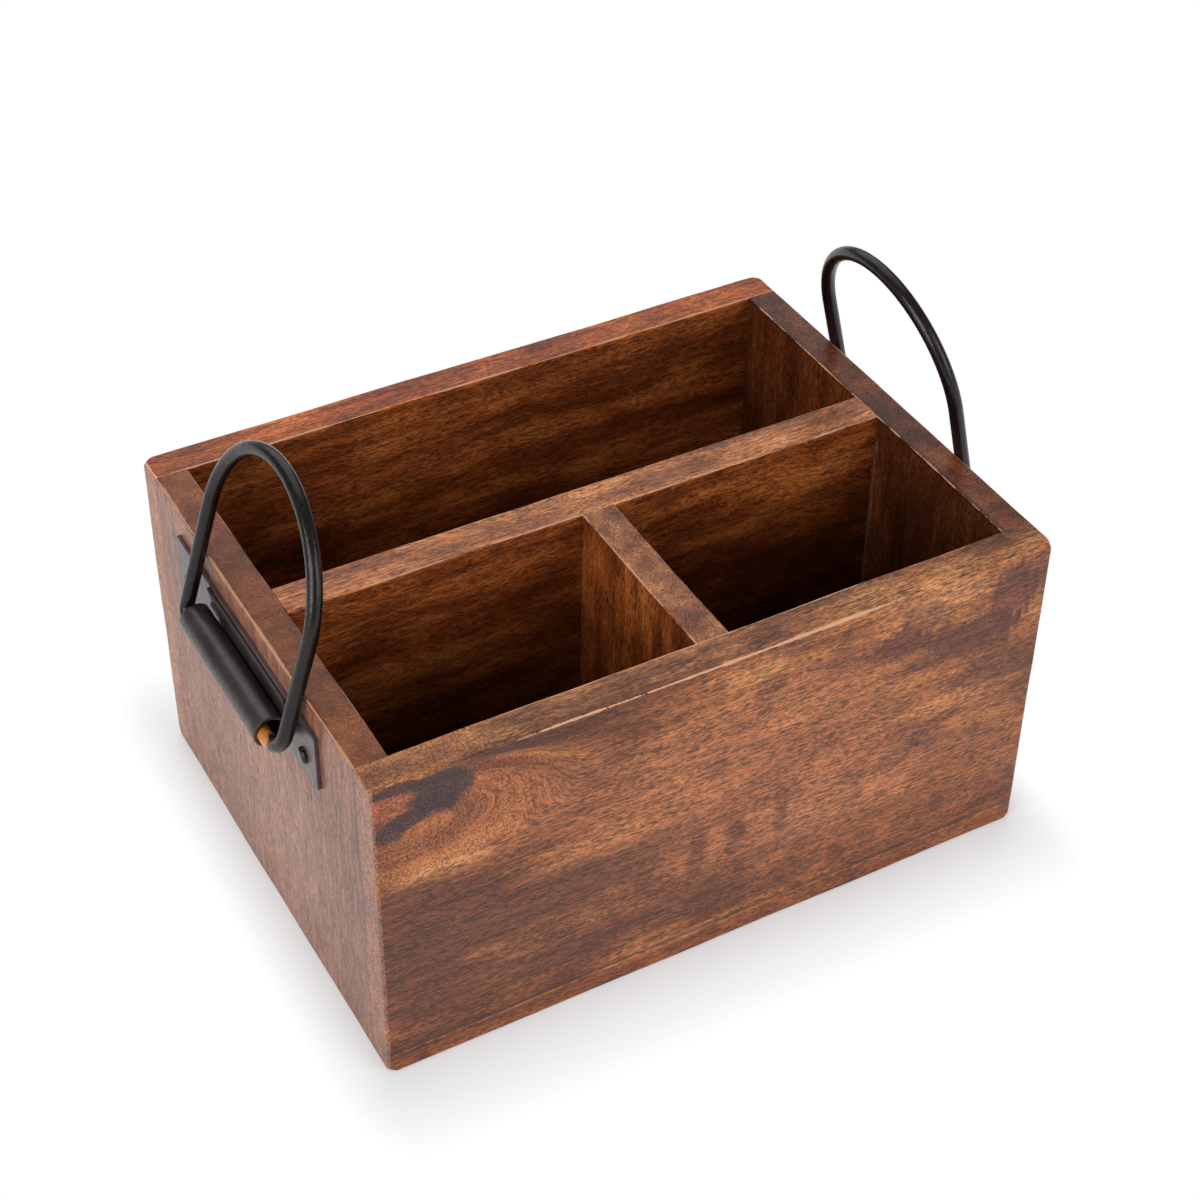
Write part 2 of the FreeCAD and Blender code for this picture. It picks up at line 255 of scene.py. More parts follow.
# %% Ragged patch
patch, p_in, p_out = new_group("Ragged patch", [("Vector", "Vector"), ("Centre", "Vector"),
                                               ("Reach", "Vector"), ("Ragged", "Float"),
                                               ("Comb", "Float"), ("Soft", "Float")], ["Mask"])
offset = vector_maths(patch, "DIVIDE", vector_maths(patch, "SUBTRACT", p_in["Vector"], p_in["Centre"]),
                      p_in["Reach"])
distance = node(patch, "ShaderNodeVectorMath", {0: offset}, operation="LENGTH").outputs["Value"]
rough_place = vector_maths(patch, "MULTIPLY", p_in["Vector"], (0.09, 0.16, 0.16))
own_place = vector_maths(patch, "ADD", vector_maths(patch, "MULTIPLY", offset, (1.3, 0, 1.3)), p_in["Centre"])
rough_noise = maths(patch, "ADD", clouds(patch, rough_place, 1.0, 5.0, 0.65).outputs[0],
                    clouds(patch, own_place, 1.0, 5.0, 0.65).outputs[0])
comb_place = vector_maths(patch, "MULTIPLY", p_in["Vector"], (0.32, 0.32, 0.04))
comb_noise = clouds(patch, comb_place, 1.0, 2.0, 0.6)
rough = maths(patch, "MULTIPLY", maths(patch, "SUBTRACT", rough_noise, 1.0), p_in["Ragged"])
teeth = maths(patch, "MULTIPLY", maths(patch, "SUBTRACT", comb_noise.outputs[0], 0.5), p_in["Comb"])
ragged = maths(patch, "ADD", maths(patch, "ADD", distance, rough), teeth)
inner = maths(patch, "SUBTRACT", 1.0, p_in["Soft"])
outer = maths(patch, "ADD", 1.0, p_in["Soft"])
patch.links.new(fade(patch, ragged, outer, inner), p_out["Mask"])
print("patch group:", len(patch.nodes), "nodes")

# %% [markdown]
# Handling rubs the stain off the arrises. Each dressed piece carries an attribute, the distance in
# millimetres past its rounded edge, and this group turns it into a broken line of wear.

# %% Worn edge
ARRIS_MID = 0.62
worn, w_in, w_out = new_group("Worn edge", [("Edge", "Float"), ("Vector", "Vector"), ("Width", "Float")],
                              ["Wear"])
chips = clouds(worn, vector_maths(worn, "MULTIPLY", w_in["Vector"], (0.045, 0.045, 0.045)), 1.0, 6.0, 0.7)
reach = maths(worn, "MULTIPLY", fade(worn, chips.outputs[0], 0.40, 0.60), w_in["Width"])
worn.links.new(fade(worn, maths(worn, "ADD", w_in["Edge"], ARRIS_MID), reach, 0.0), w_out["Wear"])
print("wear group:", len(worn.nodes), "nodes")

# %% [markdown]
# One recipe makes the stained timber of every board. Each board gets its own stretch of timber, turned
# so that the grain runs the right way, and its own patches. The colour comes from broad streaks and
# blotches, then the patches, then fine fibres and pores, and last the wear on the edges. Inside the
# compartments the colour is darkened, and more so towards the bottom: this is painted shade.

# %% Stained timber
WALNUT = [(0.0, stain(92, 45, 20)), (0.35, stain(126, 67, 32)), (0.65, stain(160, 93, 47)),
          (1.0, stain(190, 120, 66))]
PLUM = stain(104, 56, 38)
DUSKY = stain(98, 48, 36)
INK = stain(60, 42, 44)
GOLD = stain(192, 119, 76)
AMBER = stain(186, 108, 58)
STRAW = stain(224, 158, 102)
RUSSET = stain(136, 72, 32)
ROSE = stain(176, 98, 72)
ARRIS = stain(224, 170, 134)
# Dark of the pores and fine lines; also painted shade on the right end's inner face.
PORE_AND_SHADE = stain(58, 29, 18)
GLUE = stain(150, 132, 118)
# Paler tint of the outer end faces, partly painted sheen of these grazing faces.
END_TINT_AND_SHEEN = stain(164, 114, 93)
END_PALE = stain(190, 138, 112)
# Colour multiplier for the faces inside the compartments: painted shade.
COMPARTMENT_SHADE = (0.70, 0.59, 0.50, 1.0)
GRAIN_TURN = {"x": (0, 0, 0), "z": (0, math.pi / 2, 0)}
TIMBER_GLOSS = 0.36
FIBRE_SWING = 0.52
PORE_SHARE = 0.7
ARRIS_WIDTH = 0.62
RIM_HEIGHTS = (129.4, 130.6)
DUSK_HEIGHTS = (125.0, 60.0)
TIMBER_ROUGHNESS = (0.44, 0.30)
TIMBER_RELIEF = {"Strength": 0.35, "Distance": 0.0003}


def stained_board(name, runs, shift, wave=9.0, tone_up=1.0, deep=0.8, cap=(1, 1, 1), wear=0.95,
                  contrast=1.0, knot=None, patches=()):
    """The timber of one board. Patches are (colour, strength, centre, reach, ragged, comb, soft), in mm.

    tone_up makes the whole board lighter or darker, deep darkens it towards the bottom of a compartment
    as painted shade, and cap tints the top edge, where end grain drinks more stain and a rubbed edge less.
    wear sets how far the arrises are rubbed, and contrast how strongly streaks and fibres show.
    """
    material = bpy.data.materials.new(name)
    material.use_nodes = True
    tree = material.node_tree
    shader = tree.nodes["Principled BSDF"]
    shader.inputs["Specular IOR Level"].default_value = TIMBER_GLOSS
    coordinates = node(tree, "ShaderNodeTexCoord", {}).outputs["Object"]
    place = vector_maths(tree, "MULTIPLY", coordinates, (1000, 1000, 1000))
    flow = place
    if knot:
        bend = use_group(tree, swirl, {"Vector": place, **knot})
        sideways = node(tree, "ShaderNodeCombineXYZ", {"Z": bend["Lift"]}).outputs[0]
        flow = vector_maths(tree, "ADD", place, sideways)
    mapping = node(tree, "ShaderNodeMapping",
                   {"Vector": flow, "Location": shift, "Rotation": GRAIN_TURN[runs]})
    timber = use_group(tree, grain, {"Vector": mapping.outputs[0], "Wave": wave})
    fibre, pore = timber["Fibre"], timber["Pore"]
    if knot:
        specks = clouds(tree, place, 1.2, 2.0, 0.6).outputs[0]
        share = fade(tree, bend["Hill"], 0.02, 0.4, 0.0, 0.5)
        fibre = node(tree, "ShaderNodeMix", {0: share, 2: fibre, 3: specks}).outputs[0]
        pore = maths(tree, "MULTIPLY", pore, fade(tree, bend["Hill"], 0.0, 0.3, 1.0, 0.0))
    tone = maths(tree, "ADD", maths(tree, "MULTIPLY", timber["Streak"], 0.5),
                 maths(tree, "MULTIPLY", timber["Blotch"], 0.5))
    ramp = node(tree, "ShaderNodeValToRGB",
                {"Fac": fade(tree, tone, 0.5 - 0.2 / contrast, 0.5 + 0.2 / contrast)})
    stops = ramp.color_ramp.elements
    for _ in range(len(WALNUT) - len(stops)):
        stops.new(0.5)
    for stop, (at, colour) in zip(stops, WALNUT):
        stop.position = at
        stop.color = colour
    colour = ramp.outputs["Color"]
    for tint, strength, centre, spread, raggedness, comb, softness in patches:
        mask = use_group(tree, patch, {"Vector": place, "Centre": centre, "Reach": spread, "Comb": comb,
                                       "Ragged": raggedness, "Soft": softness})["Mask"]
        colour = blend(tree, maths(tree, "MULTIPLY", mask, strength), colour, tint)
    swing = FIBRE_SWING * contrast
    shade = fade(tree, fibre, 0.40, 0.60, (1 - swing) * tone_up, (1 + swing) * tone_up)
    shades = node(tree, "ShaderNodeCombineColor", {"Red": shade, "Green": shade, "Blue": shade}).outputs[0]
    colour = blend(tree, 1.0, colour, shades, "MULTIPLY")
    colour = blend(tree, maths(tree, "MULTIPLY", pore, PORE_SHARE), colour, PORE_AND_SHADE)
    height = node(tree, "ShaderNodeSeparateXYZ", {"Vector": place}).outputs["Z"]
    capped = blend(tree, 1.0, colour, cap + (1,), "MULTIPLY")
    colour = blend(tree, fade(tree, height, *RIM_HEIGHTS), colour, capped)
    edge = node(tree, "ShaderNodeAttribute", {}, attribute_name="edge_mm").outputs["Fac"]
    rubbed = use_group(tree, worn, {"Edge": edge, "Vector": place, "Width": ARRIS_WIDTH})["Wear"]
    colour = blend(tree, maths(tree, "MULTIPLY", rubbed, wear), colour, ARRIS)
    # Painted shade: faces inside the compartments are darkened, and more so towards the bottom.
    inside = node(tree, "ShaderNodeAttribute", {}, attribute_name="inside").outputs["Fac"]
    dusk = blend(tree, fade(tree, height, *DUSK_HEIGHTS), COMPARTMENT_SHADE, tuple(c * deep for c in COMPARTMENT_SHADE))
    colour = blend(tree, inside, colour, dusk, "MULTIPLY")
    tree.links.new(colour, shader.inputs["Base Color"])
    tree.links.new(fade(tree, fibre, 0.3, 0.7, *TIMBER_ROUGHNESS), shader.inputs["Roughness"])
    relief = maths(tree, "SUBTRACT", fibre, maths(tree, "MULTIPLY", pore, 0.5))
    bump = node(tree, "ShaderNodeBump", {"Height": relief, **TIMBER_RELIEF})
    tree.links.new(bump.outputs[0], shader.inputs["Normal"])
    return material


FRONT_Y = -95.0
SKIN = 1.8


def on_front(colour, strength, x, z, reach_x, reach_z, ragged, comb, soft):
    """A patch that stays on the front face."""
    return colour, strength, (x, FRONT_Y, z), (reach_x, SKIN, reach_z), ragged, comb, soft


front_patches = [
    on_front(GOLD, 0.25, -88, 102, 40, 18, 0.9, 0.0, 0.5),
    on_front(GOLD, 0.50, 10, 72, 80, 30, 0.9, 0.0, 0.7),
    on_front(GOLD, 0.70, 42, 47, 42, 12, 0.9, 0.0, 0.7),
    on_front(GOLD, 0.40, 0, 101, 55, 14, 0.9, 0.0, 0.7),
    on_front(AMBER, 0.50, 55, 22, 45, 9, 0.9, 0.0, 0.6),
    on_front(AMBER, 0.40, 105, 42, 32, 16, 0.9, 0.0, 0.7),
    on_front(STRAW, 0.50, -104, 88.5, 15, 3.0, 1.2, 0.0, 0.6),
    on_front(STRAW, 0.30, 12, 121, 10, 6, 1.2, 1.4, 0.5),
    on_front(STRAW, 0.30, 85, 122, 22, 6, 1.2, 1.4, 0.5),
    on_front(PLUM, 0.85, -115, 70, 32, 15, 0.8, 0.3, 0.35),
    on_front(PLUM, 0.85, -82, 55, 50, 11, 0.9, 0.3, 0.4),
    on_front(PLUM, 0.50, -66, 41, 34, 8, 0.9, 0.3, 0.5),
    on_front(PLUM, 0.70, -118, 46, 20, 22, 0.9, 0.3, 0.4),
    on_front(PLUM, 0.70, -75, 29, 52, 8, 0.9, 0.5, 0.4),
    on_front(PLUM, 0.65, -30, 24, 42, 6, 0.9, 0.6, 0.4),
    on_front(PLUM, 0.60, -90, 14, 40, 5, 0.9, 0.4, 0.4),
    on_front(DUSKY, 0.85, 100, 103, 17, 6.5, 0.8, 1.2, 0.12),
    on_front(DUSKY, 0.75, 113, 116, 11, 10, 0.8, 2.0, 0.15),
    on_front(DUSKY, 0.70, 67, 111, 9, 6, 1.0, 1.8, 0.2),
    on_front(DUSKY, 0.50, 74, 119, 9, 7, 1.0, 2.2, 0.2),
    on_front(DUSKY, 0.50, 15, 114, 7, 5, 1.2, 1.4, 0.3),
    on_front(DUSKY, 0.35, 40, 116, 6, 4, 1.2, 1.6, 0.3),
    on_front(RUSSET, 0.75, -10, 0, 190, 9.0, 0.12, 0.0, 0.06),
]
DABS = [(-48, 48, 3, 9, 0.3), (-30, 49, 3.5, 12, 0.35), (-10, 48, 3.5, 11, 0.65), (5, 52, 3.5, 7, 0.6),
        (23, 52, 3, 11, 0.65), (55, 50, 3, 7, 0.3), (8, 21, 5, 7, 0.5), (28, 21, 6, 7, 0.5),
        (48, 21, 4, 7, 0.5), (62, 21, 3.5, 6, 0.45), (90, 24, 3.5, 4, 0.5), (120, 30, 3.5, 3.5, 0.5),
        (-115, 5, 2.5, 7, 0.6), (-76, 7, 4.5, 3, 0.5), (15, 3, 4.5, 3.5, 0.4), (57, 8, 3.5, 9, 0.4)]
for x, z, wide, tall, strength in DABS:
    front_patches.append(on_front(DUSKY, strength, x, z, wide, tall, 1.6, 0.7, 0.6))
front_patches += [
    on_front(PORE_AND_SHADE, 0.60, -117, 53.5, 1.1, 1.1, 0.4, 0.0, 0.3),
    on_front(PORE_AND_SHADE, 0.60, 0, 10.1, 190, 0.8, 2.2, 0.0, 0.5),
    on_front(STRAW, 0.22, 0, 8.8, 190, 0.5, 2.6, 0.0, 0.5),
    on_front(ROSE, 0.50, -122, 122.5, 8.5, 4.5, 1.2, 0.0, 0.3),
    on_front(INK, 0.92, -104, 122.5, 11, 8.5, 0.9, 0.0, 0.22),
    on_front(INK, 0.80, -120, 129, 11, 1.8, 1.0, 0.0, 0.2),
    on_front(INK, 0.60, -86, 129.5, 16, 2.0, 1.0, 0.0, 0.5),
    on_front(INK, 0.88, -115, 115, 7, 4, 1.0, 0.0, 0.25),
    on_front(INK, 0.82, -122, 112, 6, 4, 1.0, 0.0, 0.2),
]
front_knot = {"Centre": (-114, FRONT_Y, 110), "Flat": (0.40, 0, 1), "Reach": 25.0}
# Painted shade on the right end's inner face, deepest in the front compartment, and a pale glue line.
right_inside_shade_and_glue = [(PORE_AND_SHADE, 0.38, (115, 0, 70), (2, 150, 110), 0.2, 0.0, 0.15),
                (PORE_AND_SHADE, 0.66, (115, -55, 90), (2, 42, 60), 0.6, 0.0, 0.4),
                (GLUE, 0.5, (115, -7.5, 74), (2, 0.7, 42), 1.6, 0.0, 0.3)]


def end_faces(y, reach_y, strength):
    """A paler tint on the outer faces of both ends, on long and end boards alike: one colour across the
    joints, and painted sheen of these grazing faces.
    """
    return [(END_TINT_AND_SHEEN, strength, (x, y, 65), (1.0, reach_y, 110), 0.2, 0.0, 0.15) for x in (-127, 127)]


LEFT_X = -127
LEFT_SKIN = 1.5


def on_left(colour, strength, y, z, reach_y, reach_z, ragged, comb, soft):
    """A patch that stays on the left end's outer face."""
    return colour, strength, (LEFT_X, y, z), (LEFT_SKIN, reach_y, reach_z), ragged, comb, soft


# The pale tint over the whole left face paints in its grazing sheen.
left_outside = end_faces(0, 150, 0.65) + [
    on_left(PLUM, 0.40, -65, 55, 40, 60, 0.8, 0.0, 0.6),
    on_left(PLUM, 0.50, 5, 62, 80, 66, 0.7, 6.0, 0.5),
    on_left(END_PALE, 0.45, -8, 48, 40, 36, 0.7, 6.0, 0.5),
    on_left(PORE_AND_SHADE, 0.75, -82, 110, 1.1, 28, 0.5, 0.0, 0.4),
]
back_rim = [(PLUM, 0.60, (-120, 90, 131), (30, 14, 4), 0.9, 0.0, 0.5)]
timber = {
    "front_panel": stained_board("timber_front", "x", (0, 0, 0), 7.0, 0.96, cap=(1.18, 1.38, 1.60),
                                 contrast=1.15, knot=front_knot,
                                 patches=front_patches + end_faces(-89, 16, 0.5)),
    "back_panel": stained_board("timber_back", "x", (310, 40, 75), 9.0, 1.15, 0.95, cap=(1.42, 1.06, 0.60),
                                patches=back_rim + end_faces(89, 16, 0.5)),
    "left_end_panel": stained_board("timber_left_end", "z", (120, 410, 33), 9.0, 0.93,
                                    cap=(0.80, 0.71, 0.65), wear=0.55, contrast=0.7,
                                    patches=left_outside),
    "right_end_panel": stained_board("timber_right_end", "z", (520, 90, 210), 9.0, 0.95, 0.55,
                                     cap=(0.56, 0.41, 0.33),
                                     patches=right_inside_shade_and_glue + end_faces(0, 150, 0.65)),
    "base_panel": stained_board("timber_base", "x", (90, 700, 20)),
    "long_divider": stained_board("timber_long_divider", "x", (640, 20, 330), 14.0, 1.34, 0.4,
                                  cap=(1.27, 1.47, 1.78)),
    "cross_divider": stained_board("timber_cross_divider", "z", (30, 260, 640), 9.0, 1.32, 0.65,
                                   cap=(0.98, 1.13, 1.42)),
}
print("boards with a timber of their own:", len(timber))

# %% [markdown]
# A board starts as a block. Its outer edges were rounded over after the box was glued up, and its inner
# edges only eased, so each gets a bevel of its own width. Cutting the block into a grid then lets a
# slow drift, the same for all boards, take away the ruler-straight look without opening the joints.
# The noise behind the drift starts from the clock unless it is given a seed, so it gets a fixed one.

# %% Board helpers
CORNER_ROUND = 1.5
RIM_ROUND = 1.2
FOOT_ROUND = 1.5
MOUTH_EASE = 0.6
MOUTH_WEAR = 0.8
TIP_ROUND = 6.0
FRONT_LEFT_TIP_ROUND = 2.0
FRONT_RUBBED = (-68.0, 58.0)
RUBBED_FADE = 24.0
GRID_STEP = 8.0
TIP_CUTS = (2.6, 3.8, 5.0, 6.2)
TOUCHING = 1e-6
NO_EDGE = 20.0
MOUTH_FLOOR = MOUTH_EASE * MM * 0.9
DRIFT = 0.32
SLOW_LENGTH = 0.045
QUICK_LENGTH = 0.014
QUICK_SHARE = 0.35
FOOT_FADE = 0.02
DRIFT_SEED = 7
noise.seed_set(DRIFT_SEED)


def block(low, high):
    """A closed box between two corners."""
    bm = bmesh.new()
    bmesh.ops.create_cube(bm, size=1.0)
    bmesh.ops.scale(bm, vec=high - low, verts=bm.verts)
    bmesh.ops.translate(bm, vec=(low + high) / 2, verts=bm.verts)
    return bm


def edges_at(bm, **limits):
    """The edges whose two ends both lie at the given x, y or z."""
    axes = [("xyz".index(axis), value) for axis, value in limits.items()]
    return [e for e in bm.edges if all(abs(v.co[i] - value) < TOUCHING for v in e.verts for i, value in axes)]


def round_over(bm, edges, radius_mm, segments):
    bmesh.ops.bevel(bm, geom=edges, offset=radius_mm * MM, offset_type="OFFSET", affect="EDGES",
                    segments=segments, profile=0.5, material=-1)


def grid_cuts(bm, low, high, step_mm):
    """Cuts the faces along planes an even step apart on each axis."""
    for axis in range(3):
        normal = Vector((0, 0, 0))
        normal[axis] = 1.0
        count = int((high[axis] - low[axis]) / (step_mm * MM))
        for i in range(1, count + 1):
            point = low.copy()
            point[axis] = low[axis] + (high[axis] - low[axis]) * i / (count + 1)
            geometry = bm.verts[:] + bm.edges[:] + bm.faces[:]
            bmesh.ops.bisect_plane(bm, geom=geometry, plane_co=point, plane_no=normal)


def cut_near_tips(bm, low, high):
    """Adds finer cuts near the ends, so that the tips can be rubbed round."""
    for axis in range(3):
        normal = Vector((0, 0, 0))
        normal[axis] = 1.0
        for step in TIP_CUTS:
            for at in (low[axis] + step * MM, high[axis] - step * MM):
                point = low.copy()
                point[axis] = at
                geometry = bm.verts[:] + bm.edges[:] + bm.faces[:]
                bmesh.ops.bisect_plane(bm, geom=geometry, plane_co=point, plane_no=normal)


def sand_tip(bm, tip, inward, radius_mm):
    """Rubs one tip of the box round, down to a ball that meets its three edges."""
    centre = tip + inward * radius_mm * MM
    ball = radius_mm * MM * math.sqrt(2)
    for v in bm.verts:
        reach = v.co - centre
        if all(reach[i] * inward[i] <= 0 for i in range(3)) and reach.length > ball:
            v.co = centre + reach.normalized() * ball


def mark_edges(bm, lines):
    """Stores how far, in mm, each vertex lies past the nearest rounded edge. A line is (limits, radius)."""
    layer = bm.verts.layers.float.new("edge_mm")
    for v in bm.verts:
        past = []
        for limits, radius in lines:
            gaps = [v.co["xyz".index(axis)] - value for axis, value in limits.items()]
            past.append(math.hypot(*gaps) / MM - radius)
        v[layer] = min(past) if past else NO_EDGE


def spare_edges(bm, from_x, to_x):
    """Keeps the stain on the rounded edges outside one stretch of the board, with a soft change."""
    layer = bm.verts.layers.float["edge_mm"]
    for v in bm.verts:
        outside = max(from_x - v.co.x / MM, v.co.x / MM - to_x, 0.0)
        v[layer] += min(1.0, outside / RUBBED_FADE)


def mark_inside(bm, is_inside):
    """Stores which vertices face a compartment."""
    layer = bm.verts.layers.float.new("inside")
    for v in bm.verts:
        v[layer] = 1.0 if is_inside(v.co) else 0.0


def drift(bm):
    """Moves the surface by a slow drift that fades out at the standing surface."""
    for v in bm.verts:
        slow = noise.noise_vector(v.co / SLOW_LENGTH) * DRIFT
        quick = noise.noise_vector(v.co / QUICK_LENGTH) * DRIFT * QUICK_SHARE
        move = (slow + quick) * MM
        move.z *= min(1.0, v.co.z / FOOT_FADE)
        v.co += move


print("helpers for boards are ready")

# %% [markdown]
# The front and back boards run the full length, so both their outer corners are rounded. The rim and
# the foot are rounded along the face and round the ends, and the edge towards the compartments is
# eased.

# %% Front and back boards


def long_board(name, outward):
    """outward is -1 for the front board and 1 for the back one."""
    low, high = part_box(name)
    outer, inner_y = (low.y, high.y) if outward < 0 else (high.y, low.y)
    bm = block(low, high)
    for x in (low.x, high.x):
        round_over(bm, edges_at(bm, x=x, y=outer), CORNER_ROUND, 6)
    for z, radius in ((high.z, RIM_ROUND), (low.z, FOOT_ROUND)):
        mouth = edges_at(bm, y=inner_y, z=z)
        round_over(bm, [e for e in edges_at(bm, z=z) if e not in mouth], radius, 5)
    round_over(bm, edges_at(bm, y=inner_y, z=high.z), MOUTH_EASE, 2)
    grid_cuts(bm, low, high, GRID_STEP)
    cut_near_tips(bm, low, high)
    mark_edges(bm, [({"y": inner_y, "z": high.z}, MOUTH_WEAR), ({"y": outer, "z": high.z}, RIM_ROUND),
                    ({"x": low.x, "z": high.z}, RIM_ROUND), ({"x": high.x, "z": high.z}, RIM_ROUND)])
    if name == "front_panel":
        spare_edges(bm, *FRONT_RUBBED)
    mark_inside(bm, lambda co: abs(co.y - inner_y) < TOUCHING and co.z < high.z - MOUTH_FLOOR)
    for x, inward_x in ((low.x, 1), (high.x, -1)):
        near = name == "front_panel" and inward_x > 0
        rim_tip = FRONT_LEFT_TIP_ROUND if near else TIP_ROUND
        sand_tip(bm, Vector((x, outer, high.z)), Vector((inward_x, -outward, -1)), rim_tip)
        sand_tip(bm, Vector((x, outer, low.z)), Vector((inward_x, -outward, 1)), TIP_ROUND)
    drift(bm)
    piece = finish_piece(bm, name, "caddy", timber[name])
    even_shading(piece)


long_board("front_panel", -1)
long_board("back_panel", 1)

# %% [markdown]
# The end boards stand between them with their grain upright. Only the outer rim and foot are rounded,
# because the upright edges are glued to the long boards.

# %% End boards


def end_board(name, outward):
    low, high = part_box(name)
    outer, inner_x = (low.x, high.x) if outward < 0 else (high.x, low.x)
    bm = block(low, high)
    round_over(bm, edges_at(bm, x=outer, z=high.z), RIM_ROUND, 5)
    round_over(bm, edges_at(bm, x=outer, z=low.z), FOOT_ROUND, 5)
    round_over(bm, edges_at(bm, x=inner_x, z=high.z), MOUTH_EASE, 2)
    grid_cuts(bm, low, high, GRID_STEP)
    mark_edges(bm, [({"x": outer, "z": high.z}, RIM_ROUND), ({"x": inner_x, "z": high.z}, MOUTH_WEAR)])
    mark_inside(bm, lambda co: abs(co.x - inner_x) < TOUCHING and co.z < high.z - MOUTH_FLOOR)
    drift(bm)
    piece = finish_piece(bm, name, "caddy", timber[name])
    even_shading(piece)


end_board("left_end_panel", -1)
end_board("right_end_panel", 1)

# %% [markdown]
# The dividers have compartments on both sides, so both top edges are eased. The base lies between the
# walls and shows only from above and below.

# %% Dividers and base


def inner_board(name, across):
    """across is the axis through the board's thickness, or None for the base."""
    low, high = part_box(name)
    bm = block(low, high)
    lines = []
    if across:
        for at in (getattr(low, across), getattr(high, across)):
            round_over(bm, edges_at(bm, **{across: at, "z": high.z}), MOUTH_EASE, 2)
            lines.append(({across: at, "z": high.z}, MOUTH_WEAR))
    grid_cuts(bm, low, high, GRID_STEP)
    mark_edges(bm, lines)
    if across:
        mark_inside(bm, lambda co: co.z < high.z - MOUTH_FLOOR)
    else:
        mark_inside(bm, lambda co: co.z > high.z - TOUCHING)
    drift(bm)
    piece = finish_piece(bm, name, "caddy", timber[name])
    even_shading(piece)


inner_board("long_divider", "y")
inner_board("cross_divider", "x")
inner_board("base_panel", None)

# %% [markdown]
# The handles are iron that was blackened and then handled. The black is not flat: it is a little
# uneven and rubbed grey on the edges, and where a bail turns in its barrel the black has gone and the
# bare rod has rusted. Rust and wear are masks that mix into one shader. Drawn rod is smoother and
# blacker than rolled sheet. The plates get a lighter, pinkish grey, which is painted reflection of the
# pale floor and wood in their faces, so the recipe is used three times.

# %% Blackened iron
SOOT = stain(14, 11, 12)
ROD_BLACK = stain(28, 20, 20)
ROLLED_DARK = stain(32, 25, 25)
ROLLED_GREY = stain(50, 41, 41)
# The plates' two colours lift black iron to a pinkish grey: painted reflection.
PLATE_REFLECTION_DARK = stain(58, 44, 44)
PLATE_REFLECTION_LIGHT = stain(80, 62, 62)
RUBBED = stain(120, 112, 108)
RUST = stain(208, 132, 62)
WARM_SHINE = (1.0, 0.92, 0.92, 1.0)
IRON_EDGE_WIDTH = 0.6
IRON_EDGE_SHARE = 0.5
IRON_RELIEF = {"Strength": 0.25, "Distance": 0.0005}


def blackened_iron(name, dark, light, smooth, rough, gloss):
    """Uneven black between two colours, and roughness between two values."""
    material = bpy.data.materials.new(name)
    material.use_nodes = True
    tree = material.node_tree
    shader = tree.nodes["Principled BSDF"]
    place = vector_maths(tree, "MULTIPLY", node(tree, "ShaderNodeTexCoord", {}).outputs["Object"],
                         (1000, 1000, 1000))
    uneven = clouds(tree, place, 0.11, 4.0, 0.6).outputs[0]
    grit = clouds(tree, place, 0.9, 3.0, 0.6).outputs[0]
    colour = blend(tree, fade(tree, uneven, 0.35, 0.65), dark, light)
    edge = node(tree, "ShaderNodeAttribute", {}, attribute_name="edge_mm").outputs["Fac"]
    rubbed = use_group(tree, worn, {"Edge": edge, "Vector": place, "Width": IRON_EDGE_WIDTH})["Wear"]
    colour = blend(tree, maths(tree, "MULTIPLY", rubbed, IRON_EDGE_SHARE), colour, RUBBED)
    bare = node(tree, "ShaderNodeAttribute", {}, attribute_name="bare").outputs["Fac"]
    rusted = maths(tree, "MULTIPLY", bare, fade(tree, grit, 0.3, 0.6, 0.7, 1.0))
    colour = blend(tree, rusted, colour, RUST)
    tree.links.new(colour, shader.inputs["Base Color"])
    tree.links.new(fade(tree, grit, 0.3, 0.7, smooth, rough), shader.inputs["Roughness"])
    shader.inputs["Specular IOR Level"].default_value = gloss
    shader.inputs["Specular Tint"].default_value = WARM_SHINE
    dents = clouds(tree, place, 0.22, 2.0).outputs[0]
    relief = maths(tree, "ADD", maths(tree, "MULTIPLY", dents, 1.6), maths(tree, "MULTIPLY", grit, 0.3))
    bump = node(tree, "ShaderNodeBump", {"Height": relief, **IRON_RELIEF})
    tree.links.new(bump.outputs[0], shader.inputs["Normal"])
    return material


rod_iron = blackened_iron("rod_iron", SOOT, ROD_BLACK, 0.20, 0.32, 0.40)
rolled_iron = blackened_iron("rolled_iron", ROLLED_DARK, ROLLED_GREY, 0.30, 0.44, 0.75)
# Plates: black iron with a painted reflection in its colour.
plate_iron_reflection = blackened_iron("plate_iron_reflection", PLATE_REFLECTION_DARK, PLATE_REFLECTION_LIGHT, 0.30, 0.44, 0.75)
print("nodes in each iron:", len(rod_iron.node_tree.nodes))

# %% [markdown]
# A bail is one rod, bent cold. A curve with a round bevel would do, but here the rod is drawn out step
# by step, as it is bent: a ring of edges is extruded along each straight run and spun round each
# bend. The upright loop is then leaned in against the rim, about the pin line that the joint gives.

# %% Bails
ROD_RADIUS = 2.6
BAIL_HALF_WIDTH = 40.25
BAIL_LEG = 43.0
WIDE_BEND = 10.0
TIGHT_BEND = 4.0
ROD_END_GAP = 6.0
BARE_REACH = 34.5
LEAN = {"left_bail": 17.09, "right_bail": -13.62}
pivots = {joint["child"]: Vector(joint["pos_m"]) for joint in frame["joints"]}


def draw_rod(bm, ring, move, steps):
    """Extrudes the ring of edges along a straight run."""
    for _ in range(steps):
        new = bmesh.ops.extrude_edge_only(bm, edges=ring)["geom"]
        verts = [g for g in new if isinstance(g, bmesh.types.BMVert)]
        bmesh.ops.translate(bm, vec=move / steps, verts=verts)
        ring = [g for g in new if isinstance(g, bmesh.types.BMEdge) and all(v in verts for v in g.verts)]
    return ring


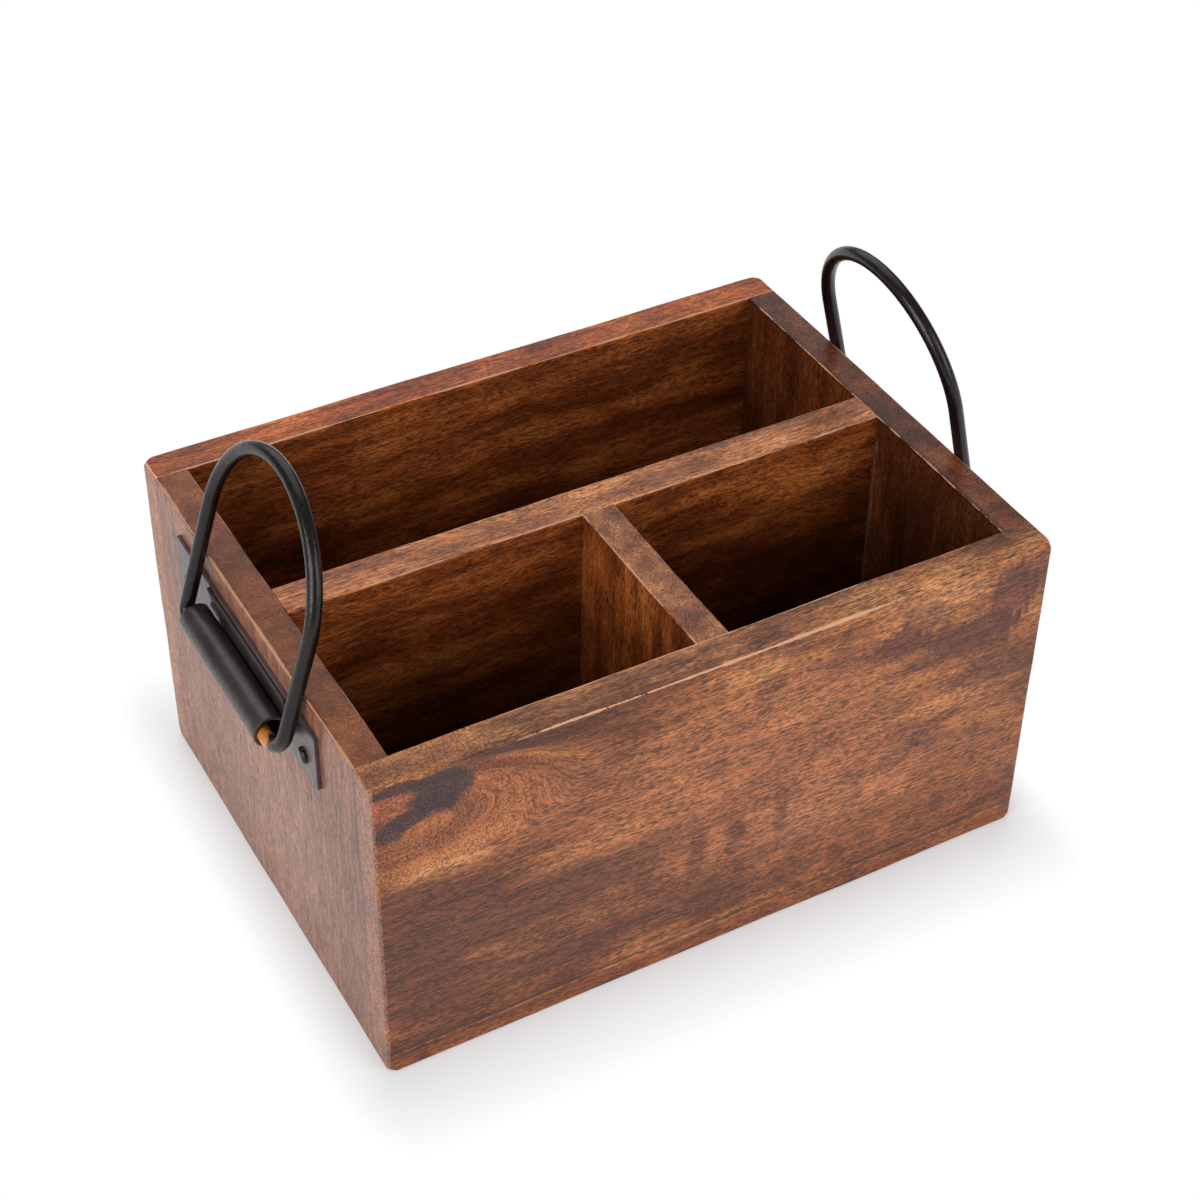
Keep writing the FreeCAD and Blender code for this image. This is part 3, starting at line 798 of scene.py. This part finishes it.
def bend_rod(bm, ring, centre, angle, steps):
    """Spins the ring of edges round a bend in the plane of the loop."""
    points = list(dict.fromkeys(v for e in ring for v in e.verts))
    last = bmesh.ops.spin(bm, geom=points + ring, cent=centre, axis=(1, 0, 0), angle=angle, steps=steps)
    return [g for g in last["geom_last"] if isinstance(g, bmesh.types.BMEdge)]


def bail(name, front_bend, back_bend):
    pin = pivots[name]
    half, leg, gap = BAIL_HALF_WIDTH * MM, BAIL_LEG * MM, ROD_END_GAP / 2 * MM
    front, back = front_bend * MM, back_bend * MM
    bm = bmesh.new()
    start = pin + Vector((0, -gap, 0))
    facing = Matrix.Translation(start) @ Matrix.Rotation(math.pi / 2, 4, "X")
    bmesh.ops.create_circle(bm, segments=24, radius=ROD_RADIUS * MM, matrix=facing)
    ring = bm.edges[:]
    ring = draw_rod(bm, ring, Vector((0, gap + front - half, 0)), 8)
    ring = bend_rod(bm, ring, pin + Vector((0, front - half, front)), -math.pi / 2, 8)
    ring = draw_rod(bm, ring, Vector((0, 0, leg - front)), 12)
    ring = bend_rod(bm, ring, pin + Vector((0, 0, leg)), -math.pi, 48)
    ring = draw_rod(bm, ring, Vector((0, 0, back - leg)), 12)
    ring = bend_rod(bm, ring, pin + Vector((0, half - back, back)), -math.pi / 2, 8)
    draw_rod(bm, ring, Vector((0, gap + back - half, 0)), 8)
    bmesh.ops.holes_fill(bm, edges=bm.edges, sides=0)
    edge_layer = bm.verts.layers.float.new("edge_mm")
    bare_layer = bm.verts.layers.float.new("bare")
    wide_side = -1 if front_bend > back_bend else 1
    for v in bm.verts:
        v[edge_layer] = NO_EDGE
        on_pin = v.co.z < pin.z + ROD_RADIUS * 1.01 * MM
        near_mouth = 0 < (v.co.y - pin.y) * wide_side < BARE_REACH * MM
        v[bare_layer] = 1.0 if on_pin and near_mouth else 0.0
    bmesh.ops.rotate(bm, verts=bm.verts, cent=pin, matrix=Matrix.Rotation(math.radians(LEAN[name]), 3, "Y"))
    finish_piece(bm, name, name, rod_iron)


bail("left_bail", WIDE_BEND, TIGHT_BEND)
bail("right_bail", TIGHT_BEND, WIDE_BEND)

# %% [markdown]
# The barrel is a strip of sheet: a flat tail on the plate, rolled down, out and up again until its lip
# meets the tail. A single line is drawn down the tail and spun round the bore, and a Solidify
# modifier gives it the thickness of the sheet.

# %% Barrels
BARREL_RADIUS = 5.95
BARREL_SHEET = 1.1
PLATE_SHEET = 1.5
LIP_ANGLE = 320.0
SHEET_EDGE = 0.18
END_FACE = 127.0
BARREL_Z = 109.0


def barrel(side, outward):
    name = f"{side}_handle_barrel"
    low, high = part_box(name)
    mid_radius = (BARREL_RADIUS - BARREL_SHEET / 2) * MM
    axis_x = outward * (END_FACE + PLATE_SHEET + BARREL_RADIUS) * MM
    tail_x = axis_x - outward * mid_radius
    bm = bmesh.new()
    first = bm.verts.new((tail_x, low.y, high.z))
    second = bm.verts.new((tail_x, high.y, high.z))
    line = [bm.edges.new((first, second))]
    bmesh.ops.subdivide_edges(bm, edges=line, cuts=15)
    line = draw_rod(bm, bm.edges[:], Vector((0, 0, BARREL_Z * MM - high.z)), 4)
    points = list(dict.fromkeys(v for e in line for v in e.verts))
    bmesh.ops.spin(bm, geom=points + line, cent=(axis_x, 0, BARREL_Z * MM), axis=(0, 1, 0),
                   angle=math.radians(LIP_ANGLE) * -outward, steps=44)
    layer = bm.verts.layers.float.new("edge_mm")
    for v in bm.verts:
        v[layer] = min(abs(v.co.y - low.y), abs(high.y - v.co.y)) / MM
    piece = finish_piece(bm, name, "caddy", rolled_iron)
    sheet = piece.modifiers.new("sheet", "SOLIDIFY")
    sheet.thickness = BARREL_SHEET * MM
    sheet.offset = 0.0
    soft = piece.modifiers.new("soft edges", "BEVEL")
    soft.width = SHEET_EDGE * MM
    soft.segments = 2


barrel("left", -1)
barrel("right", 1)

# %% [markdown]
# The plates are flat strips with slightly rounded corners, and the nails have low domed heads. A nail
# head is half a profile spun round the nail's axis.

# %% Plates and nails
PLATE_CORNER = 1.5
PLATE_EDGE = 0.3
PLATE_GRID = 4.0
NAIL_HEAD_RADIUS = 3.0
NAIL_HEAD_HEIGHT = 1.6
NAIL_HEAD_SINK = 0.5
NAIL_HEAD_NECK = 0.97
DOME_STEPS = 6
DOME_POWER = 0.6


def plate(side, outward):
    name = f"{side}_handle_plate"
    low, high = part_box(name)
    bm = block(low, high)
    for y in (low.y, high.y):
        for z in (low.z, high.z):
            round_over(bm, edges_at(bm, y=y, z=z), PLATE_CORNER, 4)
    face_x = low.x if outward < 0 else high.x
    round_over(bm, edges_at(bm, x=face_x), PLATE_EDGE, 2)
    grid_cuts(bm, low, high, PLATE_GRID)
    mark_edges(bm, [({"x": face_x, "y": y}, PLATE_EDGE) for y in (low.y, high.y)]
               + [({"x": face_x, "z": z}, PLATE_EDGE) for z in (low.z, high.z)])
    piece = finish_piece(bm, name, "caddy", plate_iron_reflection)
    even_shading(piece)


def nails(side, outward):
    name = f"{side}_plate_nails"
    low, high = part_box(name)
    seat = outward * (END_FACE + PLATE_SHEET) * MM
    middle = (low.z + high.z) / 2
    bm = bmesh.new()
    for y in (low.y + NAIL_HEAD_RADIUS * MM, high.y - NAIL_HEAD_RADIUS * MM):
        profile = []
        for step in range(DOME_STEPS + 1):
            angle = math.pi / 2 * step / DOME_STEPS
            height = outward * NAIL_HEAD_HEIGHT * math.sin(angle) ** DOME_POWER * MM
            radius = NAIL_HEAD_RADIUS * math.cos(angle) ** DOME_POWER * MM if step < DOME_STEPS else 0.0
            profile.append(bm.verts.new((seat + height, y + radius, middle)))
        sunk = seat - outward * NAIL_HEAD_SINK * MM
        profile.insert(0, bm.verts.new((sunk, y + NAIL_HEAD_RADIUS * NAIL_HEAD_NECK * MM, middle)))
        edges = [bm.edges.new(pair) for pair in zip(profile, profile[1:])]
        bmesh.ops.spin(bm, geom=profile + edges, cent=(seat, y, middle), axis=(1, 0, 0),
                       angle=2 * math.pi, steps=24, use_merge=True)
    bmesh.ops.remove_doubles(bm, verts=bm.verts, dist=TOUCHING)
    layer = bm.verts.layers.float.new("edge_mm")
    for v in bm.verts:
        v[layer] = NO_EDGE
    finish_piece(bm, name, "caddy", rod_iron)


for side, outward in (("left", -1), ("right", 1)):
    plate(side, outward)
    nails(side, outward)

# %% [markdown]
# The brads stay as the CAD made them, because nobody sees them inside the boards. They still get a
# material of their own: drawn wire with fine scratches along it.

# %% Brads
wire = bpy.data.materials.new("brad_wire")
wire.use_nodes = True
wire_tree = wire.node_tree
wire_shader = wire_tree.nodes["Principled BSDF"]
wire_place = node(wire_tree, "ShaderNodeTexCoord", {}).outputs["Object"]
scratches = clouds(wire_tree, wire_place, 2500.0, 3.0).outputs[0]
wire_shader.inputs["Base Color"].default_value = stain(190, 190, 192)
wire_shader.inputs["Metallic"].default_value = 1.0
wire_tree.links.new(fade(wire_tree, scratches, 0.3, 0.7, 0.25, 0.45), wire_shader.inputs["Roughness"])
for name, brads in frame["nodes"].items():
    if name.endswith("_brads"):
        brads.data.materials.clear()
        brads.data.materials.append(wire)
print("brads keep their CAD shape")

# %% [markdown]
# The caddy stands on a white sweep in soft studio light. The world gives an even light from all round,
# and three softboxes, on the left, in front on the right and high behind, give the faces their different
# brightness. The floor is plain matte white. Where the camera or a reflection looks at it, it glows
# as a plain white background, and close to the caddy the glow gives way to the matte floor with its
# shadow.

# %% Floor and light
SHADOW_REACH = (0.019, 0.036, 1.0)
SHADOW_SHARE = 0.72
scene = bpy.context.scene
scene.view_settings.view_transform = "Standard"

floor_bm = bmesh.new()
bmesh.ops.create_grid(floor_bm, x_segments=8, y_segments=8, size=4.0)
floor_mesh = bpy.data.meshes.new("floor")
floor_bm.to_mesh(floor_mesh)
floor_bm.free()
floor = bpy.data.objects.new("floor", floor_mesh)
scene.collection.objects.link(floor)
floor_paint = bpy.data.materials.new("floor_paint")
floor_paint.use_nodes = True
floor_tree = floor_paint.node_tree
floor_tree.nodes.remove(floor_tree.nodes["Principled BSDF"])
matte = node(floor_tree, "ShaderNodeBsdfDiffuse", {"Color": (0.93, 0.94, 0.97, 1)}).outputs[0]
glow = node(floor_tree, "ShaderNodeEmission", {"Color": (1, 1, 1, 1), "Strength": 1.0}).outputs[0]
floor_place = node(floor_tree, "ShaderNodeTexCoord", {}).outputs["Object"]
from_middle = vector_maths(floor_tree, "ABSOLUTE", floor_place, (0, 0, 0))
foot_half = (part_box("front_panel")[1].x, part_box("back_panel")[1].y, 0)
past_foot = vector_maths(floor_tree, "SUBTRACT", from_middle, foot_half)
past_foot = vector_maths(floor_tree, "DIVIDE", past_foot, SHADOW_REACH)
past_foot = vector_maths(floor_tree, "MAXIMUM", past_foot, (0, 0, 0))
clear = node(floor_tree, "ShaderNodeVectorMath", {0: past_foot}, operation="LENGTH").outputs["Value"]
lift_off = node(floor_tree, "ShaderNodeMapRange",
                {0: clear, 1: 0.0, 2: 1.0, 3: 1.0 - SHADOW_SHARE, 4: 1.0}).outputs[0]
rays = node(floor_tree, "ShaderNodeLightPath", {}).outputs
seen = maths(floor_tree, "MAXIMUM", rays["Is Camera Ray"], rays["Is Glossy Ray"])
share = maths(floor_tree, "MULTIPLY", seen, lift_off)
surface = node(floor_tree, "ShaderNodeMixShader", {0: share, 1: matte, 2: glow}).outputs[0]
floor_tree.links.new(surface, floor_tree.nodes["Material Output"].inputs["Surface"])
floor_mesh.materials.append(floor_paint)

WORLD_LIGHT = 0.24
world = bpy.data.worlds.new("studio")
scene.world = world
world.use_nodes = True
world_tree = world.node_tree
background = world_tree.nodes["Background"]
world_rays = node(world_tree, "ShaderNodeLightPath", {}).outputs
strength = fade(world_tree, world_rays["Is Camera Ray"], 0.0, 1.0, WORLD_LIGHT, 1.0)
world_tree.links.new(strength, background.inputs["Strength"])
background.inputs["Color"].default_value = (1, 1, 1, 1)


def softbox(name, place, aim, size, power):
    """A square area light that faces a point."""
    data = bpy.data.lights.new(name, "AREA")
    data.shape = "SQUARE"
    data.size = size
    data.energy = power
    lamp = bpy.data.objects.new(name, data)
    scene.collection.objects.link(lamp)
    direction = Vector(aim) - Vector(place)
    lamp.matrix_world = Matrix.Translation(place) @ direction.to_track_quat("-Z", "Y").to_matrix().to_4x4()


softbox("left softbox", (-1.5, -0.55, 0.85), (0, 0, 0.06), 1.2, 20)
softbox("front softbox", (0.75, -1.45, 0.85), (0, 0, 0.06), 1.2, 11.5)
softbox("back softbox", (0.26, 1.05, 1.37), (0, 0, 0.1), 1.8, 11.5)
print("softboxes:", len(bpy.data.lights))
